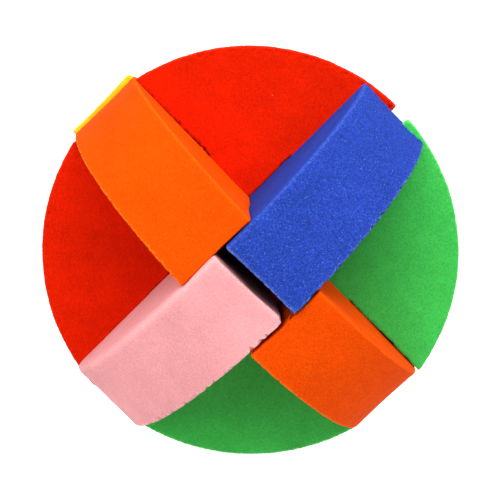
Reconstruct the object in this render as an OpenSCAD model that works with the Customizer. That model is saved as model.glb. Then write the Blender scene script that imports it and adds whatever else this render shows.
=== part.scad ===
// Foam puzzle ball: six identical half discs cut from thick foam sheet.
// Two facing halves make one disc, and three discs cross at right angles.
// Every disc is closed round one neighbour and notched for the other.
// Millimetres, +Z up, origin at the ball's centre.
// The ball stands on the three lowest corners of its rims.

/* [Ball] */

// Diameter of the three crossed discs
ball_d = 75; // [62:1:110]

// Thickness of the foam sheet the pieces are cut from
sheet_t = 15; // [10:0.5:17.5]

/* [Interlock] */

// Radial width of the bridge between a piece's recess and its rim notch
bridge_w = 10; // [6:0.5:11]

// Clearance on each side where one piece crosses another
fit_gap = 0.2; // [0.15:0.05:0.5]

// Slot between the straight edges of the two halves of one disc
seam_gap = 2.4; // [1:0.1:4]

/* [Hidden] */

// Smoothness of the round rims
$fn = 180;

// Radius of a disc
ball_r = ball_d / 2;

// Half the width of the slot that a crossing sheet passes through
slot_half = sheet_t / 2 + fit_gap;

// Depth of the recess from the ball's centre, which is the inner side of the bridge
recess_depth = slot_half;

// Distance from the ball's centre to the outer side of the bridge, the notch's floor
bridge_out = recess_depth + bridge_w;

// Half the length of the recess along its floor
recess_floor = bridge_out + fit_gap;

// Half the length of the recess at the straight edge: its flanks spread at 45
// degrees, so that all six pieces can draw apart at the same rate
recess_mouth = recess_floor + recess_depth;

// Reach of the cutting shapes, which run clear of the disc on every side
clear = ball_d;

// Angle that stands the diagonal between the three disc axes upright
tilt = acos(1 / sqrt(3));

// Turn about that diagonal from one disc to the next
next_disc = 120;

// Piece to show, or all of them

// One piece, lying flat: straight edge along X, round rim towards +Y
module half_disc() {
  difference() {
    cylinder(h = sheet_t, r = ball_r, center = true);
    far_side();
    recess();
    rim_notch();
  }
}

// Everything beyond the straight edge
module far_side()
  translate([-clear, seam_gap / 2 - clear, -clear])
    cube([2 * clear, clear, 2 * clear]);

// Opening in the straight edge that closes round a neighbour's bridge
module recess()
  linear_extrude(height = clear, center = true)
    polygon([
      [-recess_mouth, 0],
      [recess_mouth, 0],
      [recess_floor, recess_depth],
      [-recess_floor, recess_depth]
    ]);

// Slot in the middle of the round rim that a neighbour's ends sit in
module rim_notch()
  translate([-slot_half, bridge_out, -clear])
    cube([2 * slot_half, clear, 2 * clear]);

// A piece stood in the ball: which of the three discs, and which half of it
module placed(disc, half)
  rotate([0, 0, disc * next_disc])
    rotate([tilt, 0, 0])
      rotate([0, 0, 45])
        rotate([0, 0, half * 180])
          half_disc();

module red_half_disc() color([0.96, 0.16, 0.02]) placed(0, 0);

module green_half_disc() color([0.25, 0.72, 0.34]) placed(0, 1);

module orange_half_disc() color([1.0, 0.37, 0.03]) placed(1, 0);

module yellow_half_disc() color([1.0, 0.78, 0.1]) placed(1, 1);

module blue_half_disc() color([0.2, 0.32, 0.79]) placed(2, 0);

module pink_half_disc() color([0.96, 0.66, 0.66]) placed(2, 1);

red_half_disc();
green_half_disc();
orange_half_disc();
yellow_half_disc();
blue_half_disc();
pink_half_disc();
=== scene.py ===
"""Foam puzzle ball: six die-cut EVA half discs woven into three crossed discs.

Every piece starts as a merged copy of its CAD solid, laid flat on its sheet and in
millimetres. Its cut edges are rolled or nicked, it gets small even faces, and then
the marks of knife, cells and handling are pressed into it before it goes back. In the
ball, pieces that would share space press each other back.
"""

import math

import bmesh
import bpy
import numpy as np
from mathutils import Matrix, Vector, noise
from mathutils.bvhtree import BVHTree


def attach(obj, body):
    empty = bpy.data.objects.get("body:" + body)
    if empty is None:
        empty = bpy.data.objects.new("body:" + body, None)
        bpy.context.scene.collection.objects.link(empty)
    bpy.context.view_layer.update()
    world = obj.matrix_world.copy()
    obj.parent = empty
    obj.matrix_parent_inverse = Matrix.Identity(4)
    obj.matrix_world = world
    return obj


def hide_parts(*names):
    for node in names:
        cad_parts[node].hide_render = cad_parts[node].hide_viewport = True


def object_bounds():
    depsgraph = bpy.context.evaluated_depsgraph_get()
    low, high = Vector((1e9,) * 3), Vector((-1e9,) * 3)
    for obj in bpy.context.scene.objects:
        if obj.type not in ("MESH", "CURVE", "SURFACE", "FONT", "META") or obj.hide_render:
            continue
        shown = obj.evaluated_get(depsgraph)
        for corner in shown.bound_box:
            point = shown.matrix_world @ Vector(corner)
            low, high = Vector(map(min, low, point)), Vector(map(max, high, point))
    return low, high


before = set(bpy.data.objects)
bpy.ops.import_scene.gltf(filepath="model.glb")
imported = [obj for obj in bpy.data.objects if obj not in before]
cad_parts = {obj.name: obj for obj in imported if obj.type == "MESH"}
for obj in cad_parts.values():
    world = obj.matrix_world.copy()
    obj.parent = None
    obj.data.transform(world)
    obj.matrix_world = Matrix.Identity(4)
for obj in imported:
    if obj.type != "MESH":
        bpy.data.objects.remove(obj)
cad_box = [list(corner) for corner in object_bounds()]

MM = 0.001

# ---------------------------------------------------------------- sizes, millimetres

BALL_R = 37.5
SHEET_HALF = 7.5
SEAM_HALF = 1.2
# Edge length of the small even faces
GRID = 0.28
# Facets of the CAD rim are cut this many times before they are pushed out to the circle
RIM_CUTS = 3
# Depth over which a straight cut that missed the middle comes back to true
MISS_FADE = 6.3
# How hollow the die leaves the walls at mid height
WALL_HOLLOW = 0.16
# Overlap of settled pieces is looked for down to this depth. Each side gives half of it and this much more
DEEPEST = 2.5
CONTACT_GAP = 0.03
# Nearer to a skin than this, in metres, a point counts as lying on it
ON_SKIN = 1e-7
# Room past a sheet's outline, and past its middle line, in which its foam may lie after marks and
# a missed cut
OUTLINE_ROOM = 0.5
MIDDLE_ROOM = 1.5
# Rounds of pressing back: the first takes most of the overlap away, the others most of what is left
GIVE_ROUNDS = 4

# Angle that stands the diagonal between the three disc axes upright
TILT = math.acos(1 / math.sqrt(3))

# Per piece: which disc, which half, side of the sheet the knife entered (+1 or -1),
# roll radius left by the knife on that side, share of that roll on the far edge of the
# straight cut, coarseness of the cut cells, how torn the far edge is at the recesses and
# at the rim, how much shade is painted on the walls of the straight cut, how far the
# straight cut missed the middle (everywhere, more towards the +Z face, more towards the
# +X end), and how the piece has settled in the loose weave: a lean in degrees and a slip
# in millimetres along the axes of the orange, blue and red discs
PIECES = {
    "red": dict(disc=0, half=0, knife=-1, roll=0.9, blunt=0.1, grain=0.8, tear=(1.1, 0.1), seam_shade_strength=0.0,
                missed=(0.6, 0.0, -0.6), lean=(-0.2, -0.3, -0.22), slip=(0.05, -0.22, 0.0)),
    "green": dict(disc=0, half=1, knife=-1, roll=0.9, blunt=0.1, grain=0.8, tear=(0.35, 0.1), seam_shade_strength=0.0,
                  missed=(1.05, -1.4, 0.0), lean=(0.98, -2.14, -0.6), slip=(0.1, -0.5, 0.36)),
    "orange": dict(disc=1, half=0, knife=1, roll=0.5, blunt=0.1, grain=0.55, tear=(0.8, 0.3), seam_shade_strength=0.0,
                   missed=(0.0, 0.0, 0.0), lean=(-0.08, 0.43, -0.67), slip=(-0.15, -0.08, -0.2)),
    "yellow": dict(disc=1, half=1, knife=1, roll=0.7, blunt=0.1, grain=0.45, tear=(0.6, 0.5), seam_shade_strength=0.0,
                   missed=(0.0, 0.0, 0.0), lean=(0.0, 0.08, 0.5), slip=(-0.14, 0.95, 0.0)),
    "blue": dict(disc=2, half=0, knife=1, roll=0.85, blunt=0.6, grain=1.0, tear=(1.0, 0.45), seam_shade_strength=0.45,
                 missed=(1.0, -0.05, 0.0), lean=(0.12, 0.41, 0.6), slip=(-0.36, 0.0, 0.28)),
    "pink": dict(disc=2, half=1, knife=1, roll=1.5, blunt=0.8, grain=0.34, tear=(1.0, 0.85), seam_shade_strength=0.45,
                 missed=(-1.5, 0.25, 0.0), lean=(-0.22, 0.28, 0.32), slip=(-0.31, 0.22, -0.08)),
}


# ---------------------------------------------------------------- materials

def linear(hex_colour):
    """sRGB hex to linear RGBA."""
    values = [int(hex_colour[i:i + 2], 16) / 255 for i in (0, 2, 4)]
    return tuple(v / 12.92 if v <= 0.04045 else ((v + 0.055) / 1.055) ** 2.4 for v in values) + (1.0,)


def add(tree, kind, settings=None, **links):
    """Adds a node, sets its properties and sockets, and links sockets that are given a socket."""
    node = tree.nodes.new(kind)
    for key, value in (settings or {}).items():
        if isinstance(key, str) and hasattr(node, key):
            setattr(node, key, value)
        else:
            node.inputs[key].default_value = value
    for name, source in links.items():
        socket = node.inputs[int(name[1:])] if name[0] == "i" and name[1:].isdigit() else node.inputs[name]
        tree.links.new(source, socket)
    return node


def per_mm(size):
    """Texture scale, on Object coordinates in metres, for features of this size in millimetres."""
    return 1 / (size * MM)


def eva_foam(name, body_hex, pale_hex, dust_hex, grain, seed):
    """Die-cut closed-cell EVA foam: matt, with fine burst cells on its cut walls and a smoother skin."""
    material = bpy.data.materials.new(name)
    material.use_nodes = True
    tree = material.node_tree
    tree.nodes.clear()
    place = add(tree, "ShaderNodeTexCoord").outputs["Object"]
    cut = add(tree, "ShaderNodeAttribute", {"attribute_name": "cut"}).outputs["Fac"]

    # Pigment is a little uneven through the sheet, in clouds about 9 mm across and patches of 2 mm
    broad_clouds = add(tree, "ShaderNodeTexNoise", {"noise_dimensions": "4D", "W": seed, "Scale": per_mm(9),
                                                    "Detail": 2.0}, Vector=place)
    patches = add(tree, "ShaderNodeTexNoise", {"noise_dimensions": "4D", "W": seed + 7,
                                               "Scale": per_mm(2.2)}, Vector=place)
    broad = add(tree, "ShaderNodeMapRange", {"From Min": 0.3, "From Max": 0.7, "To Min": 0.93,
                                             "To Max": 1.06}, Value=broad_clouds.outputs["Fac"])
    local = add(tree, "ShaderNodeMapRange", {"From Min": 0.3, "From Max": 0.7,
                                             "To Min": 1 - 0.07 * grain,
                                             "To Max": 1 + 0.06 * grain}, Value=patches.outputs["Fac"])
    # Burst cells are 0.2 to 0.4 mm: a mixed fine grain, dark inside the cells
    cells = add(tree, "ShaderNodeTexVoronoi", {"feature": "F1", "Scale": per_mm(0.4), "Randomness": 1.0},
                Vector=place)
    specks = add(tree, "ShaderNodeTexNoise", {"noise_dimensions": "4D", "W": seed, "Scale": per_mm(0.24),
                                              "Detail": 1.0, "Roughness": 0.7}, Vector=place)
    hollow = add(tree, "ShaderNodeMapRange", {"From Min": 0.1, "From Max": 0.5, "To Min": 1 - 0.3 * grain,
                                              "To Max": 1.0}, Value=cells.outputs["Distance"])
    speckle = add(tree, "ShaderNodeMapRange", {"From Min": 0.3, "From Max": 0.7, "To Min": 1 - 0.32 * grain,
                                               "To Max": 1 + 0.3 * grain}, Value=specks.outputs["Fac"])
    pores = add(tree, "ShaderNodeMath", {"operation": "MULTIPLY"}, i0=hollow.outputs["Result"],
                i1=speckle.outputs["Result"])
    skin_or_cut = add(tree, "ShaderNodeMapRange", {"To Min": 0.6, "To Max": 1.0}, Value=cut)
    pore_tone = add(tree, "ShaderNodeMix", {"data_type": "FLOAT", "A": 1.0},
                    Factor=skin_or_cut.outputs["Result"], B=pores.outputs["Value"])
    uneven = add(tree, "ShaderNodeMath", {"operation": "MULTIPLY"}, i0=broad.outputs["Result"],
                 i1=local.outputs["Result"])
    # Painted shade: the walls of the straight cut, deep in the narrow gap between pieces, are darkened in
    # their colour
    painted_seam_shade = add(tree, "ShaderNodeAttribute", {"attribute_name": "painted_seam_shade"}).outputs["Fac"]
    seam_shade_factor = add(tree, "ShaderNodeMapRange", {"To Min": 1.0, "To Max": 0.0}, Value=painted_seam_shade)
    tone = add(tree, "ShaderNodeMath", {"operation": "MULTIPLY"}, i0=uneven.outputs["Value"],
               i1=seam_shade_factor.outputs["Result"])
    both = add(tree, "ShaderNodeMath", {"operation": "MULTIPLY"}, i0=tone.outputs["Value"],
               i1=pore_tone.outputs["Result"])
    # Thin cell walls catch the light as pale points: a painted highlight, on the cut walls only
    glints = add(tree, "ShaderNodeTexNoise", {"Scale": per_mm(0.26), "Detail": 1.0}, Vector=place)
    glint = add(tree, "ShaderNodeMapRange", {"From Min": 0.6, "From Max": 0.8, "To Min": 0.0,
                                             "To Max": 0.3 * grain}, Value=glints.outputs["Fac"])
    on_cut = add(tree, "ShaderNodeMath", {"operation": "MULTIPLY"}, i0=glint.outputs["Result"], i1=cut)
    shaded = add(tree, "ShaderNodeVectorMath", {"operation": "SCALE", 0: linear(body_hex)[:3]},
                 Scale=both.outputs["Value"])
    glinting = add(tree, "ShaderNodeMix", {"data_type": "RGBA", 7: linear(pale_hex)},
                   i0=on_cut.outputs["Value"], i6=shaded.outputs["Vector"])
    # Torn edges are paler in points, because light comes through the loose cell walls; along the rolled
    # ridge the same pale points are a painted highlight
    torn = add(tree, "ShaderNodeAttribute", {"attribute_name": "frayed"}).outputs["Fac"]
    ridge_crumbs_and_highlight = add(tree, "ShaderNodeAttribute", {"attribute_name": "ridge_crumbs_and_highlight"}).outputs["Fac"]
    # Painted highlight along the rolled ridge, at a fifth of its strength
    ridge_highlight_share = add(tree, "ShaderNodeMath", {"operation": "MULTIPLY", 1: 0.2}, i0=ridge_crumbs_and_highlight)
    fray_and_ridge_highlight = add(tree, "ShaderNodeMath", {"operation": "MAXIMUM"}, i0=torn, i1=ridge_highlight_share.outputs["Value"])
    in_points = add(tree, "ShaderNodeMapRange", {"From Min": 0.42, "From Max": 0.62, "To Min": 0.1,
                                                 "To Max": 0.6}, Value=specks.outputs["Fac"])
    paleness = add(tree, "ShaderNodeMath", {"operation": "MULTIPLY"}, i0=fray_and_ridge_highlight.outputs["Value"],
                   i1=in_points.outputs["Result"])
    edged = add(tree, "ShaderNodeMix", {"data_type": "RGBA", 7: linear(pale_hex)},
                i0=paleness.outputs["Value"], i6=glinting.outputs[2])
    # A few specks of dust from handling, about 0.2 mm
    dust = add(tree, "ShaderNodeTexVoronoi", {"feature": "F1", "Scale": per_mm(8), "Randomness": 1.0},
               Vector=place)
    on_dust = add(tree, "ShaderNodeMapRange", {"From Min": 0.018, "From Max": 0.012, "To Min": 0.0,
                                               "To Max": 0.6}, Value=dust.outputs["Distance"])
    colour = add(tree, "ShaderNodeMix", {"data_type": "RGBA", 7: linear(dust_hex)},
                 i0=on_dust.outputs["Result"], i6=edged.outputs[2])

    fine = add(tree, "ShaderNodeTexNoise", {"Scale": per_mm(0.25), "Detail": 2.0}, Vector=place)
    relief = add(tree, "ShaderNodeMix", {"data_type": "FLOAT", "Factor": 0.5},
                 A=cells.outputs["Distance"], B=fine.outputs["Fac"])
    bump = add(tree, "ShaderNodeBump", {"Strength": 0.35 + 0.45 * grain, "Distance": 0.06 * MM},
               Height=relief.outputs["Result"])
    foam = add(tree, "ShaderNodeBsdfPrincipled", {
        "Roughness": 0.85,
        "IOR": 1.48,
        "Specular IOR Level": 0.03,
        "Subsurface Weight": 0.12,
        "Subsurface Radius": (1.0, 0.6, 0.4),
        "Subsurface Scale": 1.2 * MM,
    }, Normal=bump.outputs["Normal"])
    tree.links.new(colour.outputs[2], foam.inputs["Base Color"])
    add(tree, "ShaderNodeOutputMaterial", Surface=foam.outputs["BSDF"])
    return material


# Body; thin cell walls, whose pale colour also serves for painted highlights on cut walls and rolled
# ridges; and dust
FOAM_COLOURS = {
    "red": ("C81A00", "FF5030", "FF9070"),
    "green": ("3EB84E", "98E898", "1E5A26"),
    "orange": ("DD4500", "FFA028", "8A3A10"),
    "yellow": ("F0AE08", "FFE870", "A08020"),
    "blue": ("213A94", "7C98F0", "A0B4F0"),
    "pink": ("D89294", "FFDCD6", "5A3A38"),
}
FOAMS = {colour: eva_foam(f"{colour}_eva_foam", *hexes, PIECES[colour]["grain"], float(seed))
         for seed, (colour, hexes) in enumerate(FOAM_COLOURS.items(), 1)}


# ---------------------------------------------------------------- foam pieces

def stand(disc, half):
    """Where a piece that lies flat, straight edge along X and rim towards +Y, stands in the ball."""
    return (Matrix.Rotation(math.radians(120 * disc), 4, "Z") @ Matrix.Rotation(TILT, 4, "X")
            @ Matrix.Rotation(math.radians(45 + 180 * half), 4, "Z"))


def settled(place, lean, slip):
    """The same place after the piece has leaned and slipped a little in the weave."""
    axes = stand(0, 0)
    turn = Vector([math.radians(angle) for angle in lean])
    shift = (Matrix.Translation(Vector(slip) * MM)
             @ Matrix.Rotation(turn.length, 4, turn if turn.length else "Z"))
    return axes @ shift @ axes.inverted() @ place


def flat_blank(node, lay_flat):
    """The CAD piece laid flat in millimetres, with flat faces whole and the rim fine and truly round."""
    blank = bmesh.new()
    blank.from_mesh(node.data)
    bmesh.ops.remove_doubles(blank, verts=blank.verts, dist=1e-6)
    bmesh.ops.transform(blank, matrix=lay_flat, verts=blank.verts)
    bmesh.ops.dissolve_limit(blank, angle_limit=math.radians(1), verts=blank.verts, edges=blank.edges)
    on_rim = [e for e in blank.edges
              if all(abs(v.co.xy.length - BALL_R) < 0.05 for v in e.verts)
              and abs(e.verts[0].co.z - e.verts[1].co.z) < 0.01]
    bmesh.ops.subdivide_edges(blank, edges=on_rim, cuts=RIM_CUTS, use_grid_fill=True)
    for v in blank.verts:
        reach = v.co.xy.length
        if reach > BALL_R - 0.1:
            v.co.xy *= BALL_R / reach
    return blank


def roll_weights(blank, knife, blunt):
    """Bevel share of every edge: full on the rim where the knife went in, slight where it came out."""
    share = blank.edges.layers.float.new("bevel_weight_edge")
    for e in blank.edges:
        if len(e.link_faces) != 2 or e.calc_face_angle() < math.radians(20):
            continue
        on_rim = all(v.co.xy.length > BALL_R - 0.05 for v in e.verts)
        on_seam = all(v.co.y < SEAM_HALF + 0.05 for v in e.verts)
        heights = [v.co.z * knife for v in e.verts]
        if min(heights) > SHEET_HALF - 0.1:
            e[share] = 1.0 if on_rim else 0.35 if on_seam else 0.1
        elif max(heights) < 0.1 - SHEET_HALF:
            e[share] = blunt if on_seam else 0.1 if on_rim else 0.05
        else:
            e[share] = 0.12 if on_rim else 0.06


def even_mesh(blank, roll):
    """Rolls the edges and gives the piece small even faces."""
    mesh = bpy.data.meshes.new("blank")
    blank.to_mesh(mesh)
    blank.free()
    worker = bpy.data.objects.new("blank", mesh)
    bpy.context.scene.collection.objects.link(worker)
    bevel = worker.modifiers.new("rolled edges", "BEVEL")
    bevel.width = roll
    bevel.segments = 5
    bevel.limit_method = "WEIGHT"
    bevel.use_clamp_overlap = False
    remesh = worker.modifiers.new("even faces", "REMESH")
    remesh.mode = "VOXEL"
    remesh.voxel_size = GRID
    result = bpy.data.meshes.new_from_object(worker.evaluated_get(bpy.context.evaluated_depsgraph_get()))
    bpy.data.objects.remove(worker)
    bpy.data.meshes.remove(mesh)
    return result


def smoothstep(low, high, x):
    t = np.clip((x - low) / (high - low), 0, 1)
    return t * t * (3 - 2 * t)


def clouds(points, size, seed):
    """Smooth noise of about -1 to 1, with features of this size in millimetres."""
    shift = Vector((17.3 * seed, -9.1 * seed, 5.7 * seed))
    return np.array([noise.noise(Vector(p) / size + shift) for p in points]) * 1.6


def read_rows(items, field):
    """A three-part field of a mesh's points, one row per point."""
    values = np.empty(len(items) * 3, np.float32)
    items.foreach_get(field, values)
    return values.reshape(-1, 3).astype(float)


def miss_middle(co, missed):
    """Shifts the straight cut as far as it missed the middle, and gives the depths from the true cut."""
    off, off_z, off_x = missed
    miss = off + off_z * co[:, 2] / SHEET_HALF + off_x * co[:, 0] / BALL_R
    from_cut = co[:, 1] - SEAM_HALF
    co[:, 1] += miss * np.clip(1 - from_cut / MISS_FADE, 0, 1)
    return from_cut


def press_marks(mesh, knife, grain, tear, seam_shade_strength, missed, seed):
    """Moves the surface as cutting and handling do, and stores where it is cut and frayed, where the rolled
    ridge is crumbed and gets a painted highlight, and where painted shade darkens the straight cut.
    """
    co = read_rows(mesh.vertices, "co")
    normal = read_rows(mesh.vertex_normals, "vector")
    cut = 1 - smoothstep(0.55, 0.85, np.abs(normal[:, 2]))
    height = co[:, 2] * knife / SHEET_HALF

    from_cut = miss_middle(co, missed)
    from_rim = BALL_R - np.hypot(co[:, 0], co[:, 1])
    inner = smoothstep(0.3, 1.5, from_rim)
    move = -WALL_HOLLOW * cut * (1 - height ** 2)
    move += (0.04 + 0.13 * cut * inner) * clouds(co, 7.0, seed)
    crumbs = clouds(co, 0.6, seed + 10)
    move += (0.012 + 0.045 * cut) * grain * crumbs
    # The knife leaves faint upright waves round the walls
    drag = co * np.array([1, 1, 0.12])
    move += 0.03 * cut * clouds(drag, 1.4, seed + 20)
    # The far edge tears as the knife comes through: bites come out of the outline, down
    # the wall and from below, and some tufts stay
    near_exit = smoothstep(-0.93, -1.0, height)
    on_wall = smoothstep(0.02, 0.3, cut)
    torn = tear[1] + (tear[0] - tear[1]) * inner
    bites = np.clip(clouds(co * np.array([1, 1, 0]), 0.6, seed + 30) - 0.05, 0, 0.8)
    near_wall = smoothstep(1.4, 0.3, np.minimum(from_rim, from_cut))
    sideways = np.hypot(normal[:, 0], normal[:, 1])
    tufts = np.clip(clouds(co * np.array([1, 1, 0]), 0.7, seed + 40) - 0.15, 0, 0.5)
    nick = (torn * near_exit * smoothstep(0.1, 0.4, sideways) * inner
            * (0.9 * tufts - 0.6 * bites - 0.15 * np.abs(crumbs)))
    lift = knife * torn * 1.4 * bites * smoothstep(-0.85, -1.0, height) * near_wall
    # The ends of the straight cut fray a little
    near_end = smoothstep(0.9, 0.2, from_cut) * smoothstep(0.9, 0.2, from_rim)
    move -= 0.3 * grain ** 2 * near_end * np.abs(crumbs)
    # Loose cell walls stand along the sharp edges
    lip = smoothstep(-0.94, -0.985, height) * on_wall
    end_lip = grain * smoothstep(0.8, 0.3, from_cut) * smoothstep(0.8, 0.3, from_rim)
    frayed = np.maximum(np.maximum(0.35 * near_exit * on_wall, lip), end_lip)
    # and the rolled edge is worn into small crumbs; the same mask paints a highlight along its ridge
    lean_over = normal[:, 2] * knife
    ridge_crumbs_and_highlight = (smoothstep(0.25, 0.5, lean_over) * smoothstep(0.97, 0.75, lean_over)
              * smoothstep(0.8, 0.95, height))
    move += 0.07 * grain * ridge_crumbs_and_highlight * crumbs
    co += normal * move[:, None]
    co[:, :2] += normal[:, :2] * (nick / np.maximum(sideways, 0.1))[:, None]
    co[:, 2] += lift
    # Painted shade on the walls of the straight cut, where they face into the gap between pieces
    painted_seam_shade = seam_shade_strength * smoothstep(0.6, 0.9, -normal[:, 1]) * smoothstep(1.2, 0.4, from_cut)
    mesh.vertices.foreach_set("co", co.astype(np.float32).ravel())
    for name, values in (("cut", cut), ("frayed", frayed), ("ridge_crumbs_and_highlight", ridge_crumbs_and_highlight), ("painted_seam_shade", painted_seam_shade)):
        layer = mesh.attributes.new(name, "FLOAT", "POINT")
        layer.data.foreach_set("value", values.astype(np.float32))


def foam_half_disc(colour, disc, half, knife, roll, blunt, grain, tear, seam_shade_strength, missed, lean, slip):
    """One foam half disc, finished and standing in the ball."""
    place = stand(disc, half)
    blank = flat_blank(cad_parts[f"{colour}_half_disc"], Matrix.Scale(1 / MM, 4) @ place.inverted())
    roll_weights(blank, knife, blunt)
    mesh = even_mesh(blank, roll)
    mesh.name = f"{colour}_foam_half_disc"
    press_marks(mesh, knife, grain, tear, seam_shade_strength, missed, disc * 2 + half + 1)
    mesh.transform(settled(place, lean, slip) @ Matrix.Scale(MM, 4))
    mesh.shade_smooth()
    mesh.materials.clear()
    mesh.materials.append(FOAMS[colour])
    piece = bpy.data.objects.new(f"{colour}_foam_half_disc", mesh)
    bpy.context.scene.collection.objects.link(piece)
    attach(piece, f"{colour}_half")
    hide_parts(f"{colour}_half_disc")
    return piece


def skin_of(piece, points):
    """The piece's skin at these corner positions, for finding the nearest place on it."""
    piece.data.calc_loop_triangles()
    corners = np.empty(len(piece.data.loop_triangles) * 3, np.int32)
    piece.data.loop_triangles.foreach_get("vertices", corners)
    return BVHTree.FromPolygons(points.tolist(), corners.reshape(-1, 3).tolist())


def may_touch(points, facts):
    """Which points may lie in the foam of the settled piece with these facts."""
    place = settled(stand(facts["disc"], facts["half"]), facts["lean"], facts["slip"])
    to_flat = np.array(place.inverted())
    flat = points @ to_flat[:3, :3].T + to_flat[:3, 3]
    in_sheet = np.abs(flat[:, 2]) < (SHEET_HALF + OUTLINE_ROOM) * MM
    in_outline = np.hypot(flat[:, 0], flat[:, 1]) < (BALL_R + OUTLINE_ROOM) * MM
    return np.nonzero(in_sheet & in_outline & (flat[:, 1] > -MIDDLE_ROOM * MM))[0]


def give_way(pieces):
    """Where two settled pieces would share space, the foam of both is pressed back by half the overlap.

    Only the nearest face tells inside from outside. Beside a sharp edge that is sometimes wrong,
    and then a point that is clear of the other piece is drawn towards it instead.
    """
    shapes = {colour: read_rows(piece.data.vertices, "co") for colour, piece in pieces.items()}
    skins = {colour: skin_of(piece, shapes[colour]) for colour, piece in pieces.items()}
    for colour, piece in pieces.items():
        moved = shapes[colour].copy()
        crossing = [other for other in pieces if PIECES[other]["disc"] != PIECES[colour]["disc"]]
        for other in crossing:
            for i in may_touch(shapes[colour], PIECES[other]):
                point = Vector(shapes[colour][i])
                surface, outward, _, depth = skins[other].find_nearest(point, DEEPEST * MM)
                if surface is not None and (point - surface).dot(outward) < 0:
                    # A point on the skin itself has no way back of its own, so it takes the skin's
                    back = (surface - point).normalized() if depth > ON_SKIN else outward
                    moved[i] += np.array(back) * (depth / 2 + CONTACT_GAP * MM)
        piece.data.vertices.foreach_set("co", moved.astype(np.float32).ravel())
        piece.data.update()


woven = {colour: foam_half_disc(colour, **facts) for colour, facts in PIECES.items()}
for _ in range(GIVE_ROUNDS):
    give_way(woven)


# ---------------------------------------------------------------- stage, light and camera

# Metres, degrees and watts
FLOOR_Z = cad_box[0][2]
FLOOR_HALF = 6.0
LAMP_DISTANCE = 0.6
LAMP_SIZE = 0.45
SOFT_BOXES = {
    "above": dict(azimuth=0, elevation=90, power=1.2),
    "right": dict(azimuth=60, elevation=62, power=2.1),
    "back_right": dict(azimuth=120, elevation=62, power=2.8),
    "left": dict(azimuth=300, elevation=62, power=2.8),
    "low_left": dict(azimuth=300, elevation=30, power=1.0),
    "low_back": dict(azimuth=180, elevation=30, power=1.6),
}


def pale_floor():
    """A plain white floor, a little self-lit so that it stays pale under the ball."""
    sweep = bmesh.new()
    bmesh.ops.create_grid(sweep, x_segments=1, y_segments=1, size=FLOOR_HALF)
    bmesh.ops.translate(sweep, verts=sweep.verts, vec=(0, 0, FLOOR_Z))
    mesh = bpy.data.meshes.new("pale_floor")
    sweep.to_mesh(mesh)
    sweep.free()
    floor = bpy.data.objects.new("pale_floor", mesh)
    bpy.context.scene.collection.objects.link(floor)
    material = bpy.data.materials.new("matt_white_paper")
    material.use_nodes = True
    paper = material.node_tree.nodes["Principled BSDF"]
    paper.inputs["Base Color"].default_value = (0.3, 0.3, 0.3, 1)
    paper.inputs["Roughness"].default_value = 0.9
    paper.inputs["Specular IOR Level"].default_value = 0.0
    paper.inputs["Emission Color"].default_value = (1, 1, 1, 1)
    paper.inputs["Emission Strength"].default_value = 1.0
    mesh.materials.append(material)


def soft_box(name, azimuth, elevation, power):
    """A square studio light that faces the ball."""
    light = bpy.data.lights.new(name, "AREA")
    light.shape = "SQUARE"
    light.size = LAMP_SIZE
    light.energy = power
    lamp = bpy.data.objects.new(name, light)
    aim = (Matrix.Rotation(math.radians(azimuth), 4, "Z")
           @ Matrix.Rotation(math.radians(90 - elevation), 4, "X"))
    lamp.matrix_world = aim @ Matrix.Translation((0, 0, LAMP_DISTANCE))
    bpy.context.scene.collection.objects.link(lamp)


def dim_room(strength):
    """The unlit studio round the ball."""
    world = bpy.data.worlds.new("dim_room")
    world.use_nodes = True
    world.node_tree.nodes["Background"].inputs["Color"].default_value = (1, 1, 1, 1)
    world.node_tree.nodes["Background"].inputs["Strength"].default_value = strength
    bpy.context.scene.world = world


def look(azimuth, elevation, roll, distance, lens, shift):
    """The camera, aimed at the ball's centre from this direction."""
    camera = bpy.data.cameras.new("camera")
    camera.lens = lens
    camera.sensor_width = 36
    camera.shift_x, camera.shift_y = shift
    camera.clip_start = 0.01
    eye = bpy.data.objects.new("camera", camera)
    aim = (Matrix.Rotation(math.radians(azimuth), 4, "Z")
           @ Matrix.Rotation(math.radians(90 - elevation), 4, "X")
           @ Matrix.Rotation(math.radians(roll), 4, "Z"))
    eye.matrix_world = aim @ Matrix.Translation((0, 0, distance))
    bpy.context.scene.collection.objects.link(eye)
    bpy.context.scene.camera = eye


pale_floor()
dim_room(0.04)
for lamp_name, facing in SOFT_BOXES.items():
    soft_box(lamp_name, **facing)
look(azimuth=-0.63, elevation=45.32, roll=0.89, distance=0.2107, lens=81.16, shift=(0.0029, -0.0028))
bpy.context.scene.view_settings.view_transform = "Standard"
